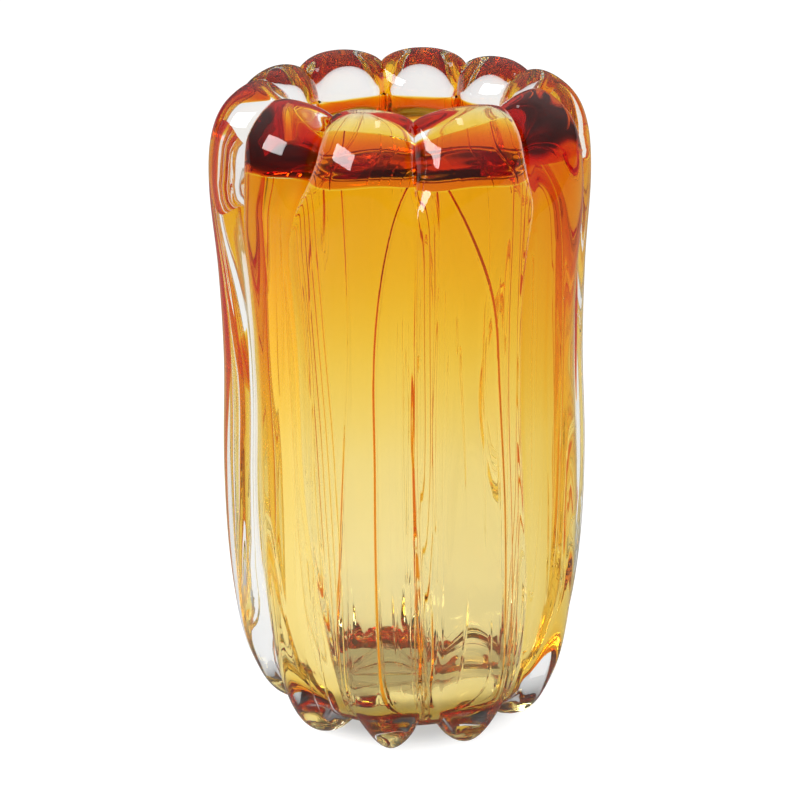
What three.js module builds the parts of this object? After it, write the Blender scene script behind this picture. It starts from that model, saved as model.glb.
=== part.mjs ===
// A ten-ribbed vase in cased art glass: an amber bubble inside clear glass, with ten clear ribs
// laid on it that end in toes below and roll over the rim as round heads above.
// Millimetres, +Z up, origin on the axis at the standing plane. Ribs 3 and 8 lie on +X and -X.
import * as THREE from "three";

// Driving dimensions.
const RIB_COUNT = 10;
const HEIGHT = 285; // standing plane to the tops of the rib heads
const BELLY_RADIUS = 80; // rib crests, at the widest place
const WAIST_RADIUS = 78; // rib crests, at the narrowest place of the body
const HEAD_RADIUS = 59; // highest line of the rolled heads
const FOOT_RADIUS = 48; // middle of the toes' ground flats
const GROUND_OFF = 3.2; // ground off each toe's lowest line to make its flat
const MOUTH_RADIUS = 41.8; // inner face of the heads, the narrowest place of the mouth
const CAVITY_RADIUS = 58.2;
const CASING_RADIUS = 65; // outside of the clear casing, which the ribs are fused to
const FLUTE_DEPTH = 5.8; // rib crest to the bottom of the groove beside it
const PONTIL_RADIUS = 14; // polished dish in the middle of the underside
const BASE_RADIUS = 27; // boss of the casing that the toes' inner ends meet
const BOSS_TOP = 10.3; // upper edge of that boss, under the toes' roots
const FLOOR = 14; // inside bottom of the cavity
const TOE_TOP = 27; // the ribs' roots face down below this and stand upright above it
const WRAP_BOTTOM = 254.5; // lower edge of the thick amber wrap inside the mouth
const WRAP_TOP = 265.6; // its upper edge, under the inner ends of the heads
const AMBER_TOP = 2.8; // thickness of the amber bubble under the wrap
const AMBER_BOTTOM = 1; // and low on its wall
const SEAM = 0.3; // left between pieces that are fused face to face
const PINCH = 0.9; // how nearly the sides of a finger meet at right angles

// Resolution.
const ARC_STEPS = 6; // across one rib, outside
const ROOT_STEPS = 4; // across one rib, where it meets the casing
const TURN_STEPS = RIB_COUNT * ROOT_STEPS; // round the casing and the bubble

const RIB_ANGLE = (2 * Math.PI) / RIB_COUNT;
const at = (r, z) => new THREE.Vector2(r, z);

// Glass. Real glass is clear, so these colours stand for what each piece passes.
const OPACITY = 0.45;
const SHINE = { roughness: 0.02, metalness: 0, transparent: true, opacity: OPACITY };
const glass = (color) => new THREE.MeshStandardMaterial({ color, ...SHINE });
const clearGlass = glass(0xf2efe6);
const amberGlass = glass(0xe3a321);
const redAmberGlass = glass(0xb3340a);

// Stations along one rib, from its inner end under the base, round the toe, up the body, over the
// head and down into the mouth. Each has the rib's crest, the flute beside it and the root on the
// casing, as (radius, height), how round the rib's back is there, from 0 for a wave to 1 for a
// finger, how much narrower the finger is than its share of the ring, and how many rings it makes
// up to the next station.
const STATIONS = [
  [at(BASE_RADIUS, 8), at(BASE_RADIUS, 8.5), at(BASE_RADIUS, BOSS_TOP), 0, 1, 1],
  [at(FOOT_RADIUS - 11, 3.5), at(FOOT_RADIUS - 9, 8), at(FOOT_RADIUS - 9, 10.8), 0.4, 1.15, 1],
  [at(FOOT_RADIUS - 4.5, -GROUND_OFF), at(FOOT_RADIUS - 1, 8.4), at(46, 12.2), 0.8, 1.4, 2],
  [at(FOOT_RADIUS + 4, -GROUND_OFF), at(FOOT_RADIUS + 5.4, 10.5), at(52, 15.2), 0.8, 1.45, 2],
  [at(BELLY_RADIUS - 18.6, 4.5), at(FOOT_RADIUS + 12.5, 17), at(CASING_RADIUS - 8.5, 20.5), 0.7, 1.35, 1],
  [at(BELLY_RADIUS - 11.4, 16.5), at(BELLY_RADIUS - 14.6, 27.5), at(CASING_RADIUS - 5, 29.5), 0.5, 1.2, 1],
  [at(BELLY_RADIUS - 4.6, 38), at(BELLY_RADIUS - 11, 45), at(CASING_RADIUS - 2.2, 46), 0.2, 1.05, 1],
  [at(BELLY_RADIUS - 0.6, 75), at(BELLY_RADIUS - 6.6, 77), at(CASING_RADIUS - 0.4, 78), 0.15, 1, 1],
  [at(BELLY_RADIUS, 118), at(BELLY_RADIUS - FLUTE_DEPTH, 118), at(CASING_RADIUS, 118), 0.15, 1, 1],
  [at(WAIST_RADIUS, 165), at(WAIST_RADIUS - FLUTE_DEPTH, 165), at(CASING_RADIUS - 0.2, 165), 0.15, 1, 1],
  [at(WAIST_RADIUS + 0.2, 205), at(WAIST_RADIUS - 6.4, 205), at(CASING_RADIUS - 0.2, 205), 0.2, 1, 1],
  [at(HEAD_RADIUS + 21, HEIGHT - 45), at(HEAD_RADIUS + 12.4, 237), at(CASING_RADIUS - 0.7, 241), 0.3, 1, 2],
  [at(HEAD_RADIUS + 19.2, HEIGHT - 23), at(HEAD_RADIUS + 7, 257), at(61.6, WRAP_BOTTOM), 0.8, 1, 2],
  [at(HEAD_RADIUS + 12.8, HEIGHT - 8.5), at(HEAD_RADIUS + 3.8, 269.5), at(58, 260.5), 1, 1, 2],
  [at(HEAD_RADIUS, HEIGHT), at(HEAD_RADIUS - 2.2, HEIGHT - 6), at(53, 263.8), 1, 1, 2],
  [at(MOUTH_RADIUS + 5.7, HEIGHT - 4.5), at(HEAD_RADIUS - 7.7, 278), at(49.5, 265), 1, 1, 2],
  [at(MOUTH_RADIUS, HEIGHT - 14), at(MOUTH_RADIUS + 6.4, 272.8), at(47.6, WRAP_TOP), 1, 1, 1],
  [at(MOUTH_RADIUS + 0.6, 266.2), at(MOUTH_RADIUS + 4.6, 266.2), at(MOUTH_RADIUS + 5, 265.8), 0.8, 1, 1],
];

// How far the rib's back stands from flute (0) to crest (1), across the rib from side -1 to 1.
function ribBack(side, roundness, narrowness) {
  const across = THREE.MathUtils.clamp(side * narrowness, -1, 1);
  const wave = Math.cos((across * Math.PI) / 2) ** 2;
  const low = Math.sqrt(1 - PINCH);
  const finger = (Math.sqrt(1 - PINCH * across * across) - low) / (1 - low);
  return THREE.MathUtils.lerp(wave, finger, roundness);
}

const inSpace = (radius, angle, z) =>
  new THREE.Vector3(radius * Math.cos(angle), radius * Math.sin(angle), z);

// A closed solid from rings of points: each ring is joined to the next, and the two ends are capped.
function loft(rings) {
  const across = rings[0].length;
  const middles = [rings[0], rings.at(-1)].map((ring) =>
    ring.reduce((sum, p) => sum.add(p), new THREE.Vector3()).divideScalar(across),
  );
  const points = [...rings.flat(), ...middles];
  const faces = [];
  for (let ring = 0; ring < rings.length - 1; ring++)
    for (let i = 0; i < across; i++) {
      const here = ring * across;
      const next = here + across;
      const j = (i + 1) % across;
      faces.push(here + i, here + j, next + j, here + i, next + j, next + i);
    }
  const last = (rings.length - 1) * across;
  const [startMiddle, endMiddle] = [points.length - 2, points.length - 1];
  for (let i = 0; i < across; i++) {
    const j = (i + 1) % across;
    faces.push(startMiddle, j, i, endMiddle, last + i, last + j);
  }
  return new THREE.BufferGeometry().setFromPoints(points).setIndex(faces);
}

// One ring round a rib: over its back from one side to the other, and back along its root. The
// seam beside the next rib is half a SEAM wide on each. The toes are ground flat at z = 0.
function ribRing(crest, flute, root, roundness, narrowness) {
  const ring = [];
  const place = (p, side) => {
    const half = RIB_ANGLE / 2 - SEAM / 2 / p.x;
    ring.push(inSpace(p.x, side * half, Math.max(p.y, 0)));
  };
  for (let i = 0; i <= ARC_STEPS; i++) {
    const side = (2 * i) / ARC_STEPS - 1;
    place(flute.clone().lerp(crest, ribBack(side, roundness, narrowness)), side);
  }
  for (let i = ROOT_STEPS; i >= 0; i--) place(root, (2 * i) / ROOT_STEPS - 1);
  return ring;
}

// Every ring of a rib as [crest, flute, root, roundness, narrowness], on smooth curves through the
// stations.
const RINGS = [];
const curves = [0, 1, 2].map((column) => new THREE.SplineCurve(STATIONS.map((s) => s[column])));
STATIONS.forEach((station, i) => {
  const next = STATIONS[i + 1] ?? station;
  const steps = station.at(-1);
  for (let step = 0; step < steps; step++) {
    const t = (i + step / steps) / (STATIONS.length - 1);
    const between = (column) => THREE.MathUtils.lerp(station[column], next[column], step / steps);
    RINGS.push([...curves.map((c) => c.getPoint(t)), between(3), between(4)]);
  }
});

const ribGeometry = () => loft(RINGS.map((ring) => ribRing(...ring)));

// A turned solid from an outline that starts and ends on the axis or closes on itself, going
// anticlockwise in (radius, height).
function turned(outline) {
  const geometry = new THREE.LatheGeometry(outline, TURN_STEPS);
  return geometry.rotateX(Math.PI / 2);
}

const smooth = (points, steps) => new THREE.SplineCurve(points).getPoints(steps);

// The wall of the cavity from the middle of its floor up to the wrap, moved out by grow.
const cavityWall = (growLow, growHigh) => [
  at(0, FLOOR - growLow),
  ...smooth(
    [
      at(CAVITY_RADIUS - 30, FLOOR + 1.8 - growLow),
      at(CAVITY_RADIUS - 13 + growLow * 0.5, FLOOR + 10.6 - growLow * 0.8),
      at(CAVITY_RADIUS - 4.8 + growLow, FLOOR + 30),
      at(CAVITY_RADIUS - 2 + growLow, FLOOR + 54),
    ],
    8,
  ),
  at(CAVITY_RADIUS - 0.6 + growLow, 110),
  at(CAVITY_RADIUS + (growLow + growHigh) / 2, 160),
  at(CAVITY_RADIUS + growHigh, 205),
  at(CAVITY_RADIUS - 0.4 + growHigh, 236),
  at(CAVITY_RADIUS - 1.8 + growHigh, WRAP_BOTTOM - SEAM),
];

// Where the casing's outside stands beside a root at this height.
const casingHeight = (z) => Math.min(z < TOE_TOP ? z + SEAM : z, WRAP_BOTTOM - SEAM);

function casingGeometry() {
  const boss = BASE_RADIUS * Math.cos(RIB_ANGLE / 2) - SEAM;
  const outside = RINGS.map((ring) => ring[2]).filter((p, i) => i > 0 && p.y <= WRAP_BOTTOM);
  return turned([
    at(0, 9.8),
    at(PONTIL_RADIUS / 2, 9.4),
    at(PONTIL_RADIUS, 8.3),
    at(boss, 8.3),
    at(boss, BOSS_TOP + SEAM),
    ...outside.map((p) => at(p.x - SEAM, casingHeight(p.y))),
    ...cavityWall(AMBER_BOTTOM + SEAM, AMBER_TOP + SEAM).reverse(),
  ]);
}

function bubbleGeometry() {
  return turned([...cavityWall(AMBER_BOTTOM, AMBER_TOP), ...cavityWall(0, 0).reverse()]);
}

// The wrap: outside it fits under the heads' roots, and its inner face follows the heads above.
function wrapGeometry() {
  const under = RINGS.map((ring) => ring[2]).filter((p) => p.y >= WRAP_BOTTOM && p.y < WRAP_TOP);
  const outline = [
    [at(CAVITY_RADIUS - 1.8, WRAP_BOTTOM), 0],
    ...under.map((p) => [at(p.x - SEAM, p.y - SEAM * 0.5), 0]),
    [at(MOUTH_RADIUS + 1.2, WRAP_TOP), 3.6],
    [at(MOUTH_RADIUS + 0.8, WRAP_TOP - 2.5), 3.6],
    [at(MOUTH_RADIUS + 5.2, WRAP_TOP - 5.6), 2.8],
    [at(MOUTH_RADIUS + 10.4, WRAP_TOP - 8.4), 1.2],
  ];
  const steps = RIB_COUNT * ARC_STEPS;
  const ringAt = (turn) => {
    const side = ((turn % ARC_STEPS) / ARC_STEPS) * 2 - 1;
    const angle = (turn / steps) * 2 * Math.PI - RIB_ANGLE / 2;
    return outline.map(([p, flute]) => inSpace(p.x + flute * (1 - ribBack(side, 0.8, 1)), angle, p.y));
  };
  const points = Array.from({ length: steps }, (_, turn) => ringAt(turn)).flat();
  const faces = [];
  const count = outline.length;
  for (let turn = 0; turn < steps; turn++)
    for (let i = 0; i < count; i++) {
      const here = turn * count;
      const next = ((turn + 1) % steps) * count;
      const j = (i + 1) % count;
      faces.push(here + i, next + i, next + j, here + i, next + j, here + j);
    }
  return new THREE.BufferGeometry().setFromPoints(points).setIndex(faces);
}

function piece(name, geometry, material) {
  const mesh = new THREE.Mesh(geometry, material);
  mesh.name = name;
  return mesh;
}

const vase = new THREE.Group();
vase.add(piece("clear_casing", casingGeometry(), clearGlass));
vase.add(piece("amber_bubble", bubbleGeometry(), amberGlass));
vase.add(piece("amber_lip_wrap", wrapGeometry(), redAmberGlass));

const oneRib = ribGeometry();
for (let number = 1; number <= RIB_COUNT; number++) {
  const rib = piece(`rib_${String(number).padStart(2, "0")}`, oneRib, clearGlass);
  rib.rotation.z = (number - 3) * RIB_ANGLE;
  vase.add(rib);
}

export default vase;
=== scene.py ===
"""A hand blown vase of ten clear ribs cased round an amber bubble, and a plain pale studio."""

import math

import bmesh
import bpy
import numpy as np
from bpy.props import FloatProperty, FloatVectorProperty, PointerProperty
from mathutils import Matrix, Vector


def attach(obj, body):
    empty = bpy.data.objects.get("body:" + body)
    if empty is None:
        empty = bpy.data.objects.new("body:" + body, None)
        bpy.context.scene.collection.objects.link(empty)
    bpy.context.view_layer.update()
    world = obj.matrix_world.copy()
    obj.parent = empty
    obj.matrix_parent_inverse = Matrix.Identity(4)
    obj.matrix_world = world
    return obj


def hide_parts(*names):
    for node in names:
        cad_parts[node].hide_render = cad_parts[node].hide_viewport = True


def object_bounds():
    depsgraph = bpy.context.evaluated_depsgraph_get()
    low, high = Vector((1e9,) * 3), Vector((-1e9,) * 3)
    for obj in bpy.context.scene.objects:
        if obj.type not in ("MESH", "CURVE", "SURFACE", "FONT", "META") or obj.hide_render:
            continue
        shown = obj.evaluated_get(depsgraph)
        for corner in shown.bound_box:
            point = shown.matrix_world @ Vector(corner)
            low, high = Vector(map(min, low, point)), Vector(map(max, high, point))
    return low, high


bl_info = {
    "name": "Ribbed cased glass vase",
    "version": (1, 0, 0),
    "blender": (4, 5, 0),
    "location": "View3D > Sidebar > Vase",
    "description": "Builds a ribbed vase of clear glass over an amber lining, and its studio",
    "category": "Add Mesh",
}

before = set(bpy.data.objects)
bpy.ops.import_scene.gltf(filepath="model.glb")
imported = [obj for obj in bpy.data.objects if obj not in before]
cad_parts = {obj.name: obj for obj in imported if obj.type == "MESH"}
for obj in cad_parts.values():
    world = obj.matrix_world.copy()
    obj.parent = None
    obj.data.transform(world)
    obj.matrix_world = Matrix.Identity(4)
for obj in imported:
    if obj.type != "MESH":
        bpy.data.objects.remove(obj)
CAD_LOW, CAD_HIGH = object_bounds()

# The tables below are in millimetres and degrees, for a vase of this width and height.
DRAWN_WIDTH = 160.0
DRAWN_HEIGHT = 285.0
RIBS = 10
RIB_ANGLE = 2 * math.pi / RIBS
ACROSS = 32  # faces across one rib's back
ROOT_ACROSS = 16  # faces across its root
FINENESS = 8  # rings from one station to the next
COLUMNS = RIBS * ACROSS  # faces round the casing, the lining and the wrap
SEAM = 0.02  # left between fused pieces, so that no two faces share a place

# Stations along a rib, from its inner end under the base, round the toe, up the body, over the
# head and down into the mouth: crest radius and height, flute radius and height, root radius and
# height, how round its back is, from 0 for a wave to 1 for a finger, and how much narrower than
# its share of the ring.
STATIONS = np.array(
    [
        (27.0, 8.0, 27.0, 8.5, 27.0, 10.3, 0.0, 1.0),
        (37.0, 3.5, 39.0, 8.0, 39.0, 10.8, 0.4, 1.15),
        (43.5, -1.2, 47.0, 8.4, 46.0, 12.2, 0.8, 1.4),
        (52.0, -1.2, 53.4, 10.5, 52.0, 15.2, 0.8, 1.45),
        (61.4, 4.5, 60.5, 17.0, 56.5, 20.5, 0.7, 1.35),
        (68.6, 16.5, 65.4, 27.5, 60.0, 29.5, 0.5, 1.2),
        (75.4, 38.0, 69.0, 45.0, 62.8, 46.0, 0.2, 1.05),
        (79.4, 75.0, 73.4, 77.0, 64.6, 78.0, 0.15, 1.0),
        (80.0, 118.0, 74.2, 118.0, 65.0, 118.0, 0.15, 1.0),
        (78.0, 165.0, 72.2, 165.0, 64.8, 165.0, 0.15, 1.0),
        (78.2, 205.0, 71.6, 205.0, 64.8, 205.0, 0.2, 1.0),
        (80.0, 240.0, 71.4, 237.0, 64.3, 241.0, 0.3, 1.0),
        (78.2, 262.0, 66.0, 257.0, 61.6, 254.5, 0.8, 1.0),
        (71.8, 276.5, 62.8, 269.5, 58.0, 260.5, 1.0, 1.0),
        (59.0, 285.0, 56.8, 279.0, 53.0, 264.2, 1.0, 1.0),
        (47.5, 280.5, 51.3, 278.0, 49.5, 265.8, 1.0, 1.0),
        (41.8, 271.0, 48.2, 273.0, 47.2, 266.4, 1.0, 1.0),
        (42.4, 265.0, 46.8, 268.0, 46.4, 267.0, 0.8, 1.0),
    ]
)
CREST, FLUTE, ROOT = STATIONS[:, 0:2], STATIONS[:, 2:4], STATIONS[:, 4:6]
ROUNDNESS, NARROWNESS = STATIONS[:, 6:7], STATIONS[:, 7:8]
WRAP_FROM = 12  # the station whose root is the wrap's outer lower edge
PINCH = 0.9  # how nearly the sides of a finger meet at right angles
CREASE_DEPTH = 0.8
CREASE_SPREAD = 0.05  # of half a rib
# The stations where the body's own handwork starts and ends, and over how many of them it fades;
# where the grooves' own depths end; and where the heads' handwork starts and ends.
BODY_FROM, BODY_TO, BODY_FADE = 4, 14.5, 3
DEPTH_TO, DEPTH_FADE = 12.6, 1.4
HEAD_FROM, HEAD_RISE, HEAD_FALL = 9, 3, 2

# How far the wrap's lower edge sags at the grooves, and where.
SAG = 1.1
SAG_HEIGHT = 254.0
SAG_SPREAD = 9.0
SAG_REACH, SAG_FADE = 66.0, 4.0  # the radius where the sag ends, and over how far it fades
SAG_WAVES = ((0.7, 3, 1), (0.5, 7, 2))  # beside the ribs' own: size, how many round, and turn
# Where each groove strays to, in degrees, at these heights, starting with the groove before rib 1.
STRAY_HEIGHTS = np.array([8.0, 50.0, 130.0, 190.0, 235.0, 268.0])
GROOVE_STRAY = np.array(
    [
        (1.4, -2.0, -4.5, -4.5, -4.0, -3.0),
        (3.0, -1.0, -5.0, -5.0, -3.0, 4.5),
        (1.0, 2.0, 1.0, 0.0, 2.0, 4.0),
        (-1.0, -2.0, -2.0, 0.0, 0.0, -1.0),
        (-3.0, -5.0, -4.0, 2.0, 6.0, -3.0),
        (3.0, 3.0, 0.5, -3.0, -5.0, 1.0),
        (-1.0, 1.0, 2.0, 1.0, 2.0, 4.6),
        (1.0, -1.0, -2.0, -1.0, 1.0, 1.0),
        (-1.0, 1.0, 2.0, 1.0, -1.0, -1.0),
        (3.4, 2.0, -5.0, -7.0, -8.0, -1.0),
    ]
)
# How deep each groove is along the body, as a share of what the stations say.
GROOVE_DEPTH = np.array([0.45, 0.5, 0.9, 1.0, 1.1, 1.1, 0.9, 1.6, 1.7, 0.45])
# How much rounder each rib's back is along the body than the stations say.
BODY_ROUND = np.array([0.0, 0.0, 0.1, 0.2, 0.1, 0.1, 0.3, 0.65, 0.1, 0.0])
# How far out, and how far up, each rib's head stands from where the stations say.
HEAD_OUT = np.array([0.4, -0.3, 0.8, -0.6, 0.2, 0.6, -0.5, 0.7, -0.8, 0.3])
HEAD_UP = np.array([0.2, -0.8, 0.0, -0.6, -0.2, 0.0, -0.9, -0.3, -0.7, 0.0])

# The cavity: radius and height, from the middle of its floor to the edge of the wrap.
CAVITY = np.array(
    [
        (0.0, 14.0),
        (14.0, 14.2),
        (27.0, 15.6),
        (37.4, 18.8),
        (45.0, 24.4),
        (50.0, 32.4),
        (53.2, 43.4),
        (56.0, 68.0),
        (57.6, 110.0),
        (58.2, 160.0),
        (58.2, 205.0),
        (57.8, 236.0),
        (56.4, 252.5),
    ]
)
# Across the wrap's bare face, from the lining to the heads: radius at a rib's middle, how much
# wider it is at a flute, and height.
CEILING = np.array([(52.6, 1.0, 257.0), (47.6, 2.6, 259.6), (43.8, 3.8, 262.0)])
# Amber thickness against height.
AMBER_AT = np.array(
    [
        (14.0, 0.7),
        (30.0, 0.7),
        (90.0, 0.8),
        (140.0, 1.1),
        (190.0, 2.1),
        (230.0, 2.8),
        (254.0, 3.0),
    ]
)
# Folds up the front of the lining: heights in metres and degrees round, half the width of the
# fold or of the bundle of fine folds, and how many there are in it.
FOLDS = (
    (((0.0, -109.0), (0.055, -109.8), (0.13, -110.3), (0.21, -108.7), (0.255, -100.8)), 1.0, 1),
    (((0.0, -60.0), (0.09, -61.0), (0.17, -64.6), (0.21, -68.0), (0.255, -81.4)), 1.1, 1),
    (((0.0, -94.0), (0.075, -93.0), (0.13, -90.6), (0.2, -90.4), (0.255, -90.0)), 6.0, 6),
    (((0.0, -125.0), (0.075, -125.5), (0.13, -127.5), (0.2, -131.0), (0.255, -133.0)), 6.5, 6),
    (((0.0, -57.0), (0.075, -56.0), (0.13, -53.0), (0.2, -53.0), (0.255, -54.0)), 4.0, 4),
)
FINE_FOLD = 0.4  # how high a fold in a bundle stands, as a share of a single one
# The casing's bare base: radius and height, from beside the middle of the mark that the iron left.
BASE = np.array([(6.0, 9.6), (14.0, 8.4), (20.0, 8.2), (26.4, 8.4), (26.9, 8.8)])
BASE_MIDDLE = 9.9
# Seeds, the small bubbles in the clear glass: rib, height, radius, place from side to side, size.
SEEDS = ((2, 202.0, 71.5, -0.11, 0.45),)
SEED_STRETCH = 1.5  # how much taller a seed is than wide, from drawing the glass out
SHARP_EDGE = math.radians(40)  # a turned piece's corners stay sharp above this
CEILING_ROUND = 0.8  # how round the wrap's bare face is under each head

# What drawing out leaves in the glass: how slowly lines sway up the wall, how fine the sway is, how
# many ridges a line has and how wide they are, and how much the colour follows the lines.
SLOW_SWAY = 1.6
SWAY_SCALE = 2.0
RIDGES = 3.0
RIDGE_WIDTH = 0.1
GROOVE_WIDTH = 0.9
POLISH_FADE = 0.03
LINE_TINT = 0.2
# A bundle of folds: how it is stretched, how uneven it is, and where its edge starts to fade.
FOLD_STRETCH = (90.0, 90.0, 3.0)
FOLD_UNEVEN = 0.8
FOLD_EDGE = 0.6

# Studio, in metres and degrees. Brightness is a share of the floor's light through the glass,
# apart from what is seen straight on.
WHITE = (1.0, 1.0, 1.0, 1.0)
FLOOR_REACH = 6
FLOOR_DROP = 0.0003
FLOOR_GREY = (0.2, 0.2, 0.2, 1)
FLOOR_SEEN = 0.97
FLOOR_MIRRORED = 0.14
# Painted shadow: the floor's glow is dimmed under the vase, standing for the shade that the vase
# would cast.
PAINTED_SHADOW_LIGHT = 0.5  # how bright the floor is under the vase, as a share of the rest
PAINTED_SHADOW_FROM, PAINTED_SHADOW_TO = 0.04, 0.06  # the radii between which it brightens to the rest
AIR_SEEN = 1.0
AIR_MIRRORED = 0.7
AIR_LOW = 0.15  # the level air's share of it
AIR_FULL_AT = 0.7  # how far up, from 0 to 1, the rest of it comes in
SOFTBOXES = (
    ("softbox_left", "left_power", (-0.85, -0.32, 0.72), 0.9, 0.36),
    ("softbox_top", "top_power", (0.12, 0.0, 1.3), 0.25, 0.12),
)
SOFTBOX_AIM = (0, 0, 0.25)
CAMERA_PLACE = (-0.0028, -0.809, 0.469)
CAMERA_TURN = -8
CAMERA_DOWN = 22
CAMERA_ROLL = -0.27
LENS, SENSOR = 90, 36


class VaseShape(bpy.types.PropertyGroup):
    """Sizes of the whole vase"""

    height: FloatProperty(
        name="Height",
        description="From the toes to the tops of the heads",
        default=CAD_HIGH[2] - CAD_LOW[2],
        min=0.1,
        unit="LENGTH",
    )
    width: FloatProperty(
        name="Width",
        description="Across the ribs at the belly",
        default=CAD_HIGH[0] - CAD_LOW[0],
        min=0.05,
        unit="LENGTH",
    )
    lean: FloatProperty(
        name="Lean",
        description="How far the mouth stands to one side of the foot",
        default=0.002,
        unit="LENGTH",
    )
    stray: FloatProperty(
        name="Handwork",
        description="How much the ribs and grooves stray from even places",
        default=1.0,
        min=0.0,
        max=2.0,
        subtype="FACTOR",
    )


class VaseGlass(bpy.types.PropertyGroup):
    """Colours of the three glasses and how strongly they colour what is seen through them"""

    clear_color: FloatVectorProperty(
        name="Clear glass",
        description="What the clear glass lets through",
        default=(0.86, 0.9, 0.86),
        min=0.0,
        max=1.0,
        subtype="COLOR",
    )
    clear_strength: FloatProperty(
        name="Clear strength",
        description="How strongly the clear glass colours light, per metre",
        default=2.0,
        min=0.0,
    )
    amber_color: FloatVectorProperty(
        name="Amber",
        description="What the lining lets through",
        default=(0.974, 0.8, 0.0),
        min=0.0,
        max=1.0,
        subtype="COLOR",
    )
    amber_strength: FloatProperty(
        name="Amber strength",
        description="How strongly the lining colours light, per metre",
        default=650.0,
        min=0.0,
    )
    lip_color: FloatVectorProperty(
        name="Lip amber",
        description="What the wrap under the heads lets through",
        default=(0.978, 0.8, 0.0),
        min=0.0,
        max=1.0,
        subtype="COLOR",
    )
    lip_strength: FloatProperty(
        name="Lip strength",
        description="How strongly the wrap colours light, per metre",
        default=1050.0,
        min=0.0,
    )
    ior: FloatProperty(
        name="Index of refraction",
        description="How strongly all three glasses bend light",
        default=1.5,
        min=1.0,
        max=2.0,
    )


class VaseStudio(bpy.types.PropertyGroup):
    """Light in the studio"""

    floor_light: FloatProperty(
        name="Floor",
        description="How bright the floor looks through the glass",
        default=0.76,
        min=0.0,
    )
    top_light: FloatProperty(
        name="Ceiling",
        description="How bright the air straight above is",
        default=0.03,
        min=0.0,
    )
    left_power: FloatProperty(
        name="Left softbox",
        description="Power of the softbox at the left",
        default=12.0,
        min=0.0,
        unit="POWER",
    )
    top_power: FloatProperty(
        name="Top softbox",
        description="Power of the small softbox overhead",
        default=0.5,
        min=0.0,
        unit="POWER",
    )


# Places across a rib's back from side to side, -1 to 1, closer together near its grooves.
SIDES = np.sin(np.linspace(-1, 1, ACROSS + 1) * math.pi / 2)
GROOVE_ANGLE = (np.arange(RIBS) - 2.5) * RIB_ANGLE
COLUMN_ANGLES = (GROOVE_ANGLE[:, None] + (SIDES[None, :-1] + 1) / 2 * RIB_ANGLE).ravel()
STATION_STEPS = np.linspace(0, len(STATIONS) - 1, (len(STATIONS) - 1) * FINENESS + 1)


def smooth_curve(points, t):
    """Points on the Catmull-Rom curve through points, where t counts its points from 0."""
    last = len(points) - 1
    i = np.clip(np.floor(t).astype(int), 0, last - 1)
    u = (t - i)[:, None]
    p0, p1, p2, p3 = (points[np.clip(i + step, 0, last)] for step in (-1, 0, 1, 2))
    v0, v1 = (p2 - p0) / 2, (p3 - p1) / 2
    bend = (2 * p1 - 2 * p2 + v0 + v1) * u + (3 * p2 - 3 * p1 - 2 * v0 - v1)
    return bend * u * u + v0 * u + p1


def in_space(radius, angle, height):
    """Points at these radii, angles and heights, with the vase's lean and the wrap's sag."""
    shape = bpy.context.scene.vase_shape
    lean = shape.lean * 1000 * (height / DRAWN_HEIGHT) ** 2
    wave = np.cos(RIBS * angle)
    for size, count, turn in SAG_WAVES:
        wave = wave + size * np.sin(count * angle + turn)
    near = np.exp(-(((height - SAG_HEIGHT) / SAG_SPREAD) ** 2))
    near = near * np.clip((SAG_REACH - radius) / SAG_FADE, 0, 1)
    sag = SAG * shape.stray * wave * near
    x, y = radius * np.cos(angle) - lean, radius * np.sin(angle)
    return np.stack([x, y + 0 * height, height + sag], axis=-1)


def rib_back(roundness, narrowness=1.0):
    """How far the back stands from flute (0) to crest (1), at each side place."""
    side = np.clip(SIDES * narrowness, -1, 1)
    wave = np.cos(side * math.pi / 2) ** 2
    low = math.sqrt(1 - PINCH)
    finger = (np.sqrt(1 - PINCH * side * side) - low) / (1 - low)
    return wave + (finger - wave) * roundness


def groove_angle(number):
    """The angle of the groove before rib number (0 to 10) at every station step."""
    turn, place = divmod(number, RIBS)
    height = smooth_curve(ROOT, STATION_STEPS)[:, 1]
    index = np.interp(height, STRAY_HEIGHTS, np.arange(len(STRAY_HEIGHTS)))
    stray = smooth_curve(GROOVE_STRAY[place][:, None], index)[:, 0]
    stray = np.radians(stray) * bpy.context.scene.vase_shape.stray
    return GROOVE_ANGLE[place] + turn * 2 * math.pi + stray


def rib_surface(number):
    """The bare back of rib number (0 to 9), as rings of points, and their angles."""
    t = STATION_STEPS
    crest, flute = smooth_curve(CREST, t)[:, None, :], smooth_curve(FLUTE, t)[:, None, :]
    stray = bpy.context.scene.vase_shape.stray
    body = np.clip((t - BODY_FROM) / BODY_FADE, 0, 1) * np.clip((BODY_TO - t) / BODY_FADE, 0, 1)
    roundness = smooth_curve(ROUNDNESS, t) + (BODY_ROUND[number] * body * stray)[:, None]
    back = rib_back(np.minimum(roundness, 1), smooth_curve(NARROWNESS, t))[..., None]
    depth = np.where(SIDES < 0, GROOVE_DEPTH[number], GROOVE_DEPTH[(number + 1) % RIBS])
    below_head = body * np.clip((DEPTH_TO - t) / DEPTH_FADE, 0, 1)
    depth = 1 + (depth - 1)[None, :] * below_head[:, None] * stray
    place = crest - (crest - flute) * (1 - back) * depth[..., None]
    crease = np.exp(-(((1 - np.abs(SIDES)) / CREASE_SPREAD) ** 2))
    head = np.clip((t - HEAD_FROM) / HEAD_RISE, 0, 1)
    head = head * np.clip((len(STATIONS) - 1 - t) / HEAD_FALL, 0, 1)
    head = head[:, None] * np.cos(SIDES * math.pi / 2)[None, :] * stray
    crease = CREASE_DEPTH * body[:, None] * crease * depth
    radius = place[..., 0] - crease + head * HEAD_OUT[number]
    height = np.maximum(place[..., 1], 0) + head * HEAD_UP[number]
    low, high = groove_angle(number)[:, None], groove_angle(number + 1)[:, None]
    angle = low + (high - low) * (SIDES[None, :] + 1) / 2 - SIDES[None, :] * SEAM / 2 / radius
    return in_space(radius, angle, height), angle


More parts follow.
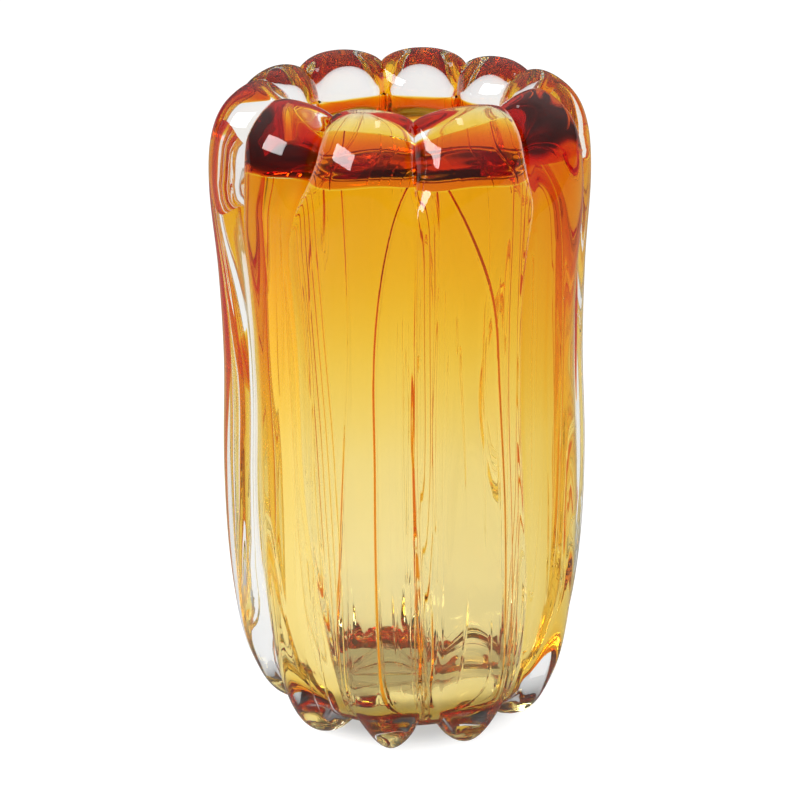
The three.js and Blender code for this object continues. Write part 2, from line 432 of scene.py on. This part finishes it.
def grid_normals(grid, ring_before=None, ring_after=None, closed=False):
    """Normals of a grid of points, smooth over the rings that lie before and after it."""
    rings = [r[None] for r in (ring_before,) if r is not None] + [grid]
    rings += [r[None] for r in (ring_after,) if r is not None]
    whole = np.concatenate(rings)
    along = np.gradient(whole, axis=0)
    if closed:
        across = (np.roll(whole, -1, axis=1) - np.roll(whole, 1, axis=1)) / 2
    else:
        across = np.gradient(whole, axis=1)
    normals = np.cross(across, along)
    normals /= np.maximum(np.linalg.norm(normals, axis=-1, keepdims=True), 1e-12)
    start = 0 if ring_before is None else 1
    return normals[start : start + len(grid)]


def volume_sign(points, faces):
    """1 where the faces look outward, -1 where they look inward."""
    corners = [(face[0], face[i], face[i + 1]) for face in faces for i in range(1, len(face) - 1)]
    a, b, c = np.moveaxis(points[np.array(corners)], 1, 0)
    return np.sign(np.einsum("ij,ij->i", a, np.cross(b, c)).sum())


def seed_surface(center, size):
    """Points of a seed and its faces, which look into it."""
    ball = bmesh.new()
    bmesh.ops.create_icosphere(ball, subdivisions=2, radius=size)
    points = np.array([v.co for v in ball.verts]) * (1, 1, SEED_STRETCH) + center
    faces = [tuple(v.index for v in reversed(face.verts)) for face in ball.faces]
    ball.free()
    return points, faces


def piece_from_rings(
    name, rings, glass, normals=None, start=None, end=None, closed=False, seeds=()
):
    """A closed mesh from rings of points. glass marks the bare faces, ring by ring and place by
    place; the others are fused to a neighbour. start and end are the points that close it."""
    count, across = rings.shape[:2]
    points = list(rings.reshape(-1, 3))
    faces, bare = [], []
    for ring in range(count if closed else count - 1):
        here, there = ring * across, (ring + 1) % count * across
        for i in range(across):
            j = (i + 1) % across
            faces.append((here + i, here + j, there + j, there + i))
            bare.append(float(glass[ring, i]))
    for point, ring, is_end in ((start, 0, False), (end, count - 1, True)):
        if point is None:
            continue
        points.append(np.asarray(point[:3]))
        for i in range(across):
            pair = (ring * across + i, ring * across + (i + 1) % across)
            faces.append((*(pair if is_end else pair[::-1]), len(points) - 1))
            bare.append(float(point[3]))
    if volume_sign(np.array(points), faces) < 0:
        faces = [face[::-1] for face in faces]
    for center, size in seeds:
        ball, ball_faces = seed_surface(center, size)
        faces += [tuple(i + len(points) for i in face) for face in ball_faces]
        bare += [1.0] * len(ball_faces)
        points += list(ball)
    shape = bpy.context.scene.vase_shape
    scale = np.array([shape.width / DRAWN_WIDTH] * 2 + [shape.height / DRAWN_HEIGHT])
    mesh = bpy.data.meshes.new(name)
    mesh.from_pydata([tuple(p) for p in np.array(points) * scale], [], faces)
    mesh.validate(clean_customdata=False)
    mesh.polygons.foreach_set("use_smooth", [True] * len(mesh.polygons))
    mesh.attributes.new("bare", "FLOAT", "FACE").data.foreach_set("value", bare)
    mesh.update()
    piece = bpy.data.objects.new(name, mesh)
    bpy.context.scene.collection.objects.link(piece)
    if normals is None:
        mesh.set_sharp_from_angle(angle=SHARP_EDGE)
    else:
        given = [tuple(n) for n in normals.reshape(-1, 3) / scale * scale[0]]
        given += [(0, 0, 0)] * (len(mesh.vertices) - len(given))
        mesh.normals_split_custom_set_from_vertices(given)
    return piece


def cavity_line():
    """The cavity's wall as radii and heights, and the way out of it at each."""
    t = np.linspace(0, len(CAVITY) - 1, (len(CAVITY) - 1) * FINENESS + 1)[1:]
    line = smooth_curve(CAVITY, t)
    slope = np.gradient(line, axis=0)
    outward = np.stack([slope[:, 1], -slope[:, 0]], axis=1)
    return line, outward / np.linalg.norm(outward, axis=1, keepdims=True)


def turned(line):
    """Rings of points from a line of radii and heights, at every column."""
    angle = COLUMN_ANGLES[None, :]
    return in_space(line[:, :1] + 0 * angle, angle + 0 * line[:, :1], line[:, 1:2] + 0 * angle)


def cavity_face():
    """The lining's bare face, as rings of points."""
    return turned(cavity_line()[0])


def amber_back(gap=0.0):
    """The back of the amber, or the face that far behind it."""
    line, outward = cavity_line()
    amber = np.interp(line[:, 1], AMBER_AT[:, 0], AMBER_AT[:, 1])[:, None]
    return turned(line + outward * (amber + gap))


def ceiling_grid():
    """The wrap's bare face, as rings from the lining's edge up to the heads."""
    edge = np.concatenate([rib_surface(number)[0][-1][:-1] for number in range(RIBS)])
    lean = in_space(0 * edge[:, 2], 0, edge[:, 2])[:, 0]
    top_angle = np.unwrap(np.arctan2(edge[:, 1], edge[:, 0] - lean))
    top = np.stack([np.hypot(edge[:, 0] - lean, edge[:, 1]), edge[:, 2] - SEAM], axis=1)
    top_angle += 2 * math.pi * np.round((COLUMN_ANGLES[0] - top_angle[0]) / (2 * math.pi))
    flute = 1 - np.tile(rib_back(CEILING_ROUND)[:-1], RIBS)
    below = [np.tile(p, (COLUMNS, 1)) for p in CAVITY[-2:]]
    middle = [np.stack([r + wider * flute, z + 0 * flute], axis=1) for r, wider, z in CEILING]
    line = np.stack([*below, *middle, top])
    steps = np.linspace(1, len(line) - 1, (len(line) - 2) * FINENESS + 1)
    rings = smooth_curve(line.reshape(len(line), -1), steps).reshape(len(steps), COLUMNS, 2)
    share = ((steps - 1) / (len(line) - 2))[:, None]
    turn = COLUMN_ANGLES[None, :] + (top_angle - COLUMN_ANGLES)[None, :] * share
    return in_space(rings[..., 0], turn, rings[..., 1])


def dress(piece, node, glass):
    """Gives a piece its glass and its place on the frame."""
    piece.data.materials.append(glass)
    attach(piece, "root")
    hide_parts(node)


def add_node(tree, kind, inputs=(), **settings):
    """A new node, with its settings and with its inputs linked or set, as (name, value) pairs."""
    node = tree.nodes.new("ShaderNode" + kind)
    for name, value in settings.items():
        setattr(node, name, value)
    for name, value in inputs:
        if isinstance(value, bpy.types.NodeSocket):
            tree.links.new(value, node.inputs[name])
        else:
            node.inputs[name].default_value = value
    return node


def empty_tree(owner):
    """The node tree of a material or the air, with nothing in it."""
    owner.use_nodes = True
    owner.node_tree.nodes.clear()
    return owner.node_tree


def node_makers(tree):
    """add makes a node and gives its outputs; reckon does one sum and gives its value."""

    def add(kind, inputs=(), **settings):
        return add_node(tree, kind, inputs, **settings).outputs

    def reckon(operation, *values):
        return add("Math", list(enumerate(values)), operation=operation)["Value"]

    return add, reckon


def drawn_glass():
    """The group for what drawing out hot glass leaves: fine lines up the wall, thick beside the
    grooves, and a colour that fades from one height to another."""
    group = bpy.data.node_groups.get("drawn_glass")
    if group:
        return group
    group = bpy.data.node_groups.new("drawn_glass", "ShaderNodeTree")
    for name, kind, value in (
        ("Low Colour", "NodeSocketColor", (1, 1, 1, 1)),
        ("High Colour", "NodeSocketColor", (1, 1, 1, 1)),
        ("Low Height", "NodeSocketFloat", 0.0),
        ("High Height", "NodeSocketFloat", 1.0),
        ("Lines", "NodeSocketFloat", 40.0),
        ("Wander", "NodeSocketFloat", 0.1),
        ("Between Grooves", "NodeSocketFloat", 0.2),
        ("Polished Above", "NodeSocketFloat", 1.0),
    ):
        socket = group.interface.new_socket(name=name, in_out="INPUT", socket_type=kind)
        socket.default_value = value
    group.interface.new_socket(name="Colour", in_out="OUTPUT", socket_type="NodeSocketColor")
    group.interface.new_socket(name="Height", in_out="OUTPUT", socket_type="NodeSocketFloat")
    given = group.nodes.new("NodeGroupInput").outputs
    result = group.nodes.new("NodeGroupOutput").inputs
    add, reckon = node_makers(group)
    place = add("TexCoord")["Object"]
    x, y, z = add("SeparateXYZ", [("Vector", place)])
    round_it = add("CombineXYZ", [("X", x), ("Y", y)])["Vector"]
    round_it = add("VectorMath", [(0, round_it)], operation="NORMALIZE")["Vector"]
    slow_z = reckon("MULTIPLY", z, SLOW_SWAY)
    slow = add("CombineXYZ", [("X", 0.0), ("Y", 0.0), ("Z", slow_z)])["Vector"]
    path = add("VectorMath", [(0, round_it), (1, slow)], operation="ADD")["Vector"]
    sway = add("TexNoise", [("Vector", path), ("Scale", SWAY_SCALE), ("Detail", 0.0)])["Color"]
    sway = add("VectorMath", [(0, sway), (1, (0.5, 0.5, 0.5))], operation="SUBTRACT")["Vector"]
    sway = add("VectorMath", [(0, sway), ("Scale", given["Wander"])], operation="SCALE")["Vector"]
    line = add("VectorMath", [(0, round_it), (1, sway)], operation="ADD")["Vector"]
    line = add("VectorMath", [(0, line), ("Scale", given["Lines"])], operation="SCALE")["Vector"]
    line = add("VectorMath", [(0, line), (1, slow)], operation="ADD")["Vector"]
    lines = add("TexNoise", [("Vector", line), ("Scale", 1.0), ("Detail", 0.0)])["Fac"]
    ridge = reckon("PINGPONG", reckon("MULTIPLY", lines, RIDGES), 0.5)
    ridge = add(
        "MapRange",
        [("Value", ridge), ("From Max", RIDGE_WIDTH), ("To Min", 1.0), ("To Max", 0.0)],
        interpolation_type="SMOOTHSTEP",
    )["Result"]
    turns = reckon("MULTIPLY_ADD", reckon("ARCTAN2", y, x), float(RIBS), math.pi)
    groove = add(
        "MapRange",
        [("Value", reckon("COSINE", turns)), ("From Max", GROOVE_WIDTH)],
        interpolation_type="SMOOTHSTEP",
    )["Result"]
    dull = reckon("SUBTRACT", given["Polished Above"], z)
    dull = add("MapRange", [("Value", dull), ("From Max", POLISH_FADE)])["Result"]
    mask = reckon("MULTIPLY", reckon("ADD", groove, given["Between Grooves"]), dull)
    group.links.new(reckon("MULTIPLY", reckon("ADD", ridge, lines), mask), result["Height"])
    share = add(
        "MapRange",
        [("Value", z), ("From Min", given["Low Height"]), ("From Max", given["High Height"])],
        interpolation_type="SMOOTHSTEP",
    )["Result"]
    share = reckon("ADD", share, reckon("MULTIPLY", reckon("SUBTRACT", lines, 0.5), LINE_TINT))
    shades = [(0, share), (6, given["Low Colour"]), (7, given["High Colour"])]
    colour = add("Mix", shades, data_type="RGBA")
    group.links.new(colour[2], result["Colour"])
    return group


def fold(tree, path, reach, count):
    """How high one fold in the lining stands, or a bundle of count finer ones. path gives heights
    in metres and degrees round, and reach is half the width in degrees."""
    add, reckon = node_makers(tree)
    place = add("TexCoord")["Object"]
    x, y, z = add("SeparateXYZ", [("Vector", place)])
    way = add_node(tree, "FloatCurve", [("Value", z)])
    curve = way.mapping.curves[0]
    while len(curve.points) < len(path):
        curve.points.new(0.5, 0.5)
    for point, (height, angle) in zip(curve.points, path):
        point.location = (height, angle / 360 + 0.5)
    way.mapping.update()
    angle = reckon("MULTIPLY_ADD", reckon("ARCTAN2", y, x), 0.5 / math.pi, 0.5)
    off = reckon("MULTIPLY", reckon("SUBTRACT", angle, way.outputs["Value"]), 360 / reach)
    across = reckon("ABSOLUTE", off)
    if count > 1:
        stretched = add("VectorMath", [(0, place), (1, FOLD_STRETCH)], operation="MULTIPLY")
        uneven = add("TexNoise", [("Vector", stretched["Vector"]), ("Scale", 1.0), ("Detail", 0.0)])
        uneven = reckon("MULTIPLY", uneven["Fac"], FOLD_UNEVEN)
        spread = reckon("MULTIPLY_ADD", off, count / 2, uneven)
        near = reckon("MULTIPLY", reckon("PINGPONG", spread, 0.5), 4.0)
    else:
        near = across
    ridge = add(
        "MapRange",
        [("Value", near), ("To Min", 1.0), ("To Max", 0.0)],
        interpolation_type="SMOOTHSTEP",
    )["Result"]
    if count == 1:
        return ridge
    inside = add(
        "MapRange",
        [("Value", across), ("From Min", FOLD_EDGE), ("To Min", FINE_FOLD), ("To Max", 0.0)],
        interpolation_type="SMOOTHSTEP",
    )["Result"]
    return reckon("MULTIPLY", ridge, inside)


def glass_material(name, color, strength, fade, lines, bump, folds=()):
    """Glass that bends light at its bare faces and lets it straight through its fused ones.
    fade is its low and high colour and their heights. lines says how many fine lines it has, how
    they wander, how strong they are between the grooves, and the height above which it has none."""
    material = bpy.data.materials.new(name)
    tree = empty_tree(material)
    drawn = tree.nodes.new("ShaderNodeGroup")
    drawn.node_tree = drawn_glass()
    names = ("Low Colour", "High Colour", "Low Height", "High Height")
    names += ("Lines", "Wander", "Between Grooves", "Polished Above")
    for socket, value in zip(names, fade + lines):
        drawn.inputs[socket].default_value = value
    relief = drawn.outputs["Height"]
    for line in folds:
        more = add_node(tree, "Math", [(0, relief), (1, fold(tree, *line))], operation="ADD")
        relief = more.outputs[0]
    ripple = add_node(tree, "Bump", [("Height", relief), ("Strength", 1.0), ("Distance", bump)])
    bare = add_node(tree, "Attribute", attribute_name="bare")
    glass = add_node(
        tree,
        "BsdfPrincipled",
        [
            ("Base Color", drawn.outputs["Colour"]),
            ("Roughness", 0.0),
            ("IOR", bpy.context.scene.vase_glass.ior),
            ("Transmission Weight", 1.0),
            ("Alpha", bare.outputs["Fac"]),
            ("Normal", ripple.outputs["Normal"]),
        ],
    )
    inside = add_node(tree, "VolumeAbsorption", [("Color", (*color, 1)), ("Density", strength)])
    add_node(
        tree,
        "OutputMaterial",
        [("Surface", glass.outputs["BSDF"]), ("Volume", inside.outputs["Volume"])],
    )
    return material


def clear_glass():
    """The clear glass of the ribs and the casing."""
    glass = bpy.context.scene.vase_glass
    return bpy.data.materials.get("clear_vase") or glass_material(
        "clear_vase",
        glass.clear_color,
        glass.clear_strength,
        fade=(WHITE, (0.985, 0.985, 0.98, 1.0), 0.0, 0.28),
        lines=(7.0, 0.15, 0.03, 0.235),
        bump=0.0001,
    )


def amber_glass():
    """The lining's amber glass, with folds up its front."""
    glass = bpy.context.scene.vase_glass
    return bpy.data.materials.get("amber_vase") or glass_material(
        "amber_vase",
        glass.amber_color,
        glass.amber_strength,
        fade=(WHITE, (1.0, 0.88, 0.1, 1.0), 0.1, 0.24),
        lines=(8.0, 0.25, 0.06, 1.0),
        bump=0.0006,
        folds=FOLDS,
    )


def lip_glass():
    """The deep red amber glass of the lip wrap."""
    glass = bpy.context.scene.vase_glass
    return bpy.data.materials.get("lip_vase") or glass_material(
        "lip_vase",
        glass.lip_color,
        glass.lip_strength,
        fade=(WHITE, (1.0, 0.9, 0.6, 1.0), 0.24, 0.26),
        lines=(8.0, 0.1, 0.3, 1.0),
        bump=0.0002,
    )


class MakeRibs(bpy.types.Operator):
    """Makes the ten clear ribs, each a closed gather from toe to rolled head"""

    bl_idname = "vase.make_ribs"
    bl_label = "Ribs"

    def execute(self, context):
        ceiling = ceiling_grid()
        root = smooth_curve(ROOT, STATION_STEPS)
        for number in range(RIBS):
            back, angle = rib_surface(number)
            next_ring = ceiling[-2][(np.arange(ACROSS + 1) + number * ACROSS) % COLUMNS]
            share = np.linspace(1, 0, ROOT_ACROSS + 1)[None, :]
            root_angle = angle[:, :1] + (angle[:, -1:] - angle[:, :1]) * share
            level = 0 * root_angle
            under = in_space(root[:, :1] + level, root_angle, root[:, 1:2] + level)
            rings = np.concatenate([back, under], axis=1)
            normals = np.concatenate([grid_normals(back, ring_after=next_ring), 0 * under], axis=1)
            glass = np.zeros(rings.shape[:2])
            glass[:, :ACROSS] = 1
            middle = GROOVE_ANGLE[number] + RIB_ANGLE / 2
            seeds = [
                (in_space(radius, middle + side * RIB_ANGLE / 2, height), size)
                for rib, height, radius, side, size in SEEDS
                if rib == number + 1
            ]
            piece = piece_from_rings(
                f"rib_{number + 1:02d}_glass",
                rings,
                glass,
                normals,
                (*rings[0].mean(axis=0), 0),
                (*rings[-1].mean(axis=0), 0),
                seeds=seeds,
            )
            dress(piece, f"rib_{number + 1:02d}", clear_glass())
        return {"FINISHED"}


class MakeCasing(bpy.types.Operator):
    """Makes the clear casing between the ribs and the lining, and its bare base"""

    bl_idname = "vase.make_casing"
    bl_label = "Casing"

    def execute(self, context):
        root = smooth_curve(ROOT, STATION_STEPS)[: WRAP_FROM * FINENESS + 1]
        slope = np.gradient(root, axis=0)
        inward = np.stack([-slope[:, 1], slope[:, 0]], axis=1)
        root += inward / np.linalg.norm(inward, axis=1, keepdims=True) * SEAM
        root[:, 0] = np.maximum(root[:, 0], BASE[-1, 0])
        outside = turned(np.concatenate([BASE, root[1:]]))
        rings = np.concatenate([outside, amber_back(SEAM)[::-1]])
        glass = np.zeros(rings.shape[:2])
        glass[: len(BASE) - 1] = 1
        floor = CAVITY[0, 1] - AMBER_AT[0, 1] - SEAM
        piece = piece_from_rings(
            "casing_glass", rings, glass, None, (0, 0, BASE_MIDDLE, 1), (0, 0, floor, 0)
        )
        dress(piece, "clear_casing", clear_glass())
        return {"FINISHED"}


class MakeLining(bpy.types.Operator):
    """Makes the amber lining of the cavity"""

    bl_idname = "vase.make_lining"
    bl_label = "Amber lining"

    def execute(self, context):
        face, back = cavity_face(), amber_back()
        normals = -grid_normals(face, ring_after=ceiling_grid()[1], closed=True)
        rings = np.concatenate([back, face[::-1]])
        glass = np.zeros(rings.shape[:2])
        glass[len(back) :] = 1
        floor = CAVITY[0, 1]
        piece = piece_from_rings(
            "lining_glass",
            rings,
            glass,
            np.concatenate([0 * back, normals[::-1]]),
            (0, 0, floor - AMBER_AT[0, 1], 0),
            (0, 0, floor, 1),
        )
        dress(piece, "amber_bubble", amber_glass())
        return {"FINISHED"}


class MakeLipWrap(bpy.types.Operator):
    """Makes the red amber wrap under the rolled heads"""

    bl_idname = "vase.make_lip_wrap"
    bl_label = "Lip wrap"

    def execute(self, context):
        face = ceiling_grid()
        ribs = np.concatenate([rib_surface(number)[0][-2][:-1] for number in range(RIBS)])
        normals = -grid_normals(face, ring_before=cavity_face()[-2], ring_after=ribs, closed=True)
        face[0, :, 2] += SEAM
        root = smooth_curve(ROOT, STATION_STEPS)[WRAP_FROM * FINENESS :]
        under = turned(root - SEAM)[:-1]
        rings = np.concatenate([face, under[::-1]])
        glass = np.zeros(rings.shape[:2])
        glass[: len(face) - 1] = 1
        normals = np.concatenate([normals, 0 * under])
        piece = piece_from_rings("wrap_glass", rings, glass, normals, closed=True)
        dress(piece, "amber_lip_wrap", lip_glass())
        return {"FINISHED"}


class MakeStage(bpy.types.Operator):
    """Makes the pale floor, with a painted shadow under the vase, the air round it, two softboxes
    and the camera
    """

    bl_idname = "vase.make_stage"
    bl_label = "Studio"

    def execute(self, context):
        scene = context.scene
        self.make_floor(scene)
        self.make_air(scene)
        for name, power, where, width, height in SOFTBOXES:
            power = getattr(scene.vase_studio, power)
            self.make_softbox(scene, name, where, width, height, power)
        self.make_camera(scene)
        scene.view_settings.view_transform = "Standard"
        scene.cycles.max_bounces = 32
        scene.cycles.transmission_bounces = 32
        scene.cycles.glossy_bounces = 16
        scene.cycles.transparent_max_bounces = 96
        scene.cycles.diffuse_bounces = 2
        scene.cycles.sample_clamp_indirect = 6
        return {"FINISHED"}

    def brightness(self, tree, straight, through, mirrored):
        """How bright the studio is straight on, through the glass, and in its reflections."""
        path = add_node(tree, "LightPath").outputs
        seen = add_node(
            tree,
            "Math",
            [(0, path["Is Camera Ray"]), (1, straight - through), (2, through)],
            operation="MULTIPLY_ADD",
        )
        return add_node(
            tree,
            "Math",
            [(0, path["Is Reflection Ray"]), (1, mirrored - through), (2, seen.outputs[0])],
            operation="MULTIPLY_ADD",
        ).outputs[0]

    def make_floor(self, scene):
        sides = ((-1, -1), (1, -1), (1, 1), (-1, 1))
        corners = [(x * FLOOR_REACH, y * FLOOR_REACH, -FLOOR_DROP) for x, y in sides]
        mesh = bpy.data.meshes.new("studio_floor")
        mesh.from_pydata(corners, [], [(0, 1, 2, 3)])
        floor = bpy.data.objects.new("studio_floor", mesh)
        scene.collection.objects.link(floor)
        material = bpy.data.materials.new("pale_floor")
        tree = empty_tree(material)
        light = scene.vase_studio.floor_light
        here = add_node(tree, "TexCoord").outputs["Object"]
        away = add_node(tree, "VectorMath", [(0, here)], operation="LENGTH").outputs["Value"]
        # Painted shadow under the vase: the floor's glow dims inside these radii, because a glowing
        # floor takes no cast shadow.
        painted_shadow = add_node(
            tree,
            "MapRange",
            [
                ("Value", away),
                ("From Min", PAINTED_SHADOW_FROM),
                ("From Max", PAINTED_SHADOW_TO),
                ("To Min", PAINTED_SHADOW_LIGHT),
            ],
            interpolation_type="SMOOTHSTEP",
        )
        bright = self.brightness(tree, FLOOR_SEEN, light, light * FLOOR_MIRRORED)
        bright = add_node(
            tree, "Math", [(0, bright), (1, painted_shadow.outputs["Result"])], operation="MULTIPLY"
        ).outputs[0]
        paint = add_node(
            tree,
            "BsdfPrincipled",
            [
                ("Base Color", FLOOR_GREY),
                ("Roughness", 0.7),
                ("Emission Color", WHITE),
                ("Emission Strength", bright),
            ],
        )
        add_node(tree, "OutputMaterial", [("Surface", paint.outputs["BSDF"])])
        mesh.materials.append(material)

    def make_air(self, scene):
        world = bpy.data.worlds.new("studio")
        scene.world = world
        tree = empty_tree(world)
        where = add_node(tree, "TexCoord")
        split = add_node(tree, "SeparateXYZ", [("Vector", where.outputs["Generated"])])
        path = add_node(tree, "LightPath").outputs
        seen = path["Is Camera Ray"]
        unseen = add_node(tree, "Math", [(0, 1.0), (1, seen)], operation="SUBTRACT")
        rise = add_node(
            tree, "Math", [(0, split.outputs["Z"]), (1, unseen.outputs[0])], operation="MULTIPLY"
        )
        ramp = add_node(tree, "ValToRGB", [("Fac", rise.outputs[0])])
        top = scene.vase_studio.top_light
        stops = ((0.0, 1.0), (0.08, 0.8), (0.25, 0.22), (0.5, top * 2), (1.0, top))
        while len(ramp.color_ramp.elements) < len(stops):
            ramp.color_ramp.elements.new(0.5)
        for element, (place, grey) in zip(ramp.color_ramp.elements, stops):
            element.position = place
            element.color = (grey, grey, grey, 1)
        light = scene.vase_studio.floor_light
        mirrored = add_node(
            tree,
            "MapRange",
            [
                ("Value", split.outputs["Z"]),
                ("From Max", AIR_FULL_AT),
                ("To Min", AIR_LOW),
            ],
        )
        sky = add_node(tree, "Mix", [(0, path["Is Reflection Ray"])], data_type="RGBA")
        tree.links.new(ramp.outputs["Color"], sky.inputs[6])
        tree.links.new(mirrored.outputs["Result"], sky.inputs[7])
        air = add_node(
            tree,
            "Background",
            [
                ("Color", sky.outputs[2]),
                ("Strength", self.brightness(tree, AIR_SEEN, light, light * AIR_MIRRORED)),
            ],
        )
        add_node(tree, "OutputWorld", [("Surface", air.outputs["Background"])])

    def make_softbox(self, scene, name, where, width, height, power):
        light = bpy.data.lights.new(name, "AREA")
        light.shape = "RECTANGLE"
        light.size, light.size_y = width, height
        light.energy = power
        lamp = bpy.data.objects.new(name, light)
        scene.collection.objects.link(lamp)
        lamp.location = where
        lamp.visible_camera = False
        aim = Vector(SOFTBOX_AIM) - Vector(where)
        lamp.rotation_euler = aim.to_track_quat("-Z", "Y").to_euler()

    def make_camera(self, scene):
        camera = bpy.data.objects.new("camera", bpy.data.cameras.new("camera"))
        scene.collection.objects.link(camera)
        camera.data.lens = LENS
        camera.data.sensor_width = SENSOR
        camera.data.clip_start, camera.data.clip_end = 0.05, 50
        turn = Matrix.Rotation(math.radians(CAMERA_TURN), 4, "Z")
        place = Matrix.Translation(CAMERA_PLACE)
        tilt = Matrix.Rotation(math.radians(90 - CAMERA_DOWN), 4, "X")
        roll = Matrix.Rotation(math.radians(CAMERA_ROLL), 4, "Z")
        camera.matrix_world = turn @ place @ tilt @ roll
        scene.camera = camera


OPERATORS = (MakeRibs, MakeCasing, MakeLining, MakeLipWrap, MakeStage)


class VASE_PT_build(bpy.types.Panel):
    """Lists the vase's settings and the steps that build it"""

    bl_label = "Ribbed vase"
    bl_idname = "VASE_PT_build"
    bl_space_type = "VIEW_3D"
    bl_region_type = "UI"
    bl_category = "Vase"

    def draw(self, context):
        layout = self.layout
        scene = context.scene
        for settings in (scene.vase_shape, scene.vase_glass, scene.vase_studio):
            box = layout.box()
            for name in settings.__annotations__:
                box.prop(settings, name)
        for operator in OPERATORS:
            layout.operator(operator.bl_idname)


CLASSES = (VaseShape, VaseGlass, VaseStudio, *OPERATORS, VASE_PT_build)


def register():
    for cls in CLASSES:
        bpy.utils.register_class(cls)
    bpy.types.Scene.vase_shape = PointerProperty(type=VaseShape)
    bpy.types.Scene.vase_glass = PointerProperty(type=VaseGlass)
    bpy.types.Scene.vase_studio = PointerProperty(type=VaseStudio)


def unregister():
    del bpy.types.Scene.vase_shape, bpy.types.Scene.vase_glass, bpy.types.Scene.vase_studio
    for cls in reversed(CLASSES):
        bpy.utils.unregister_class(cls)


def main():
    register()
    bpy.ops.vase.make_ribs()
    bpy.ops.vase.make_casing()
    bpy.ops.vase.make_lining()
    bpy.ops.vase.make_lip_wrap()
    bpy.ops.vase.make_stage()


if __name__ == "__main__":
    main()
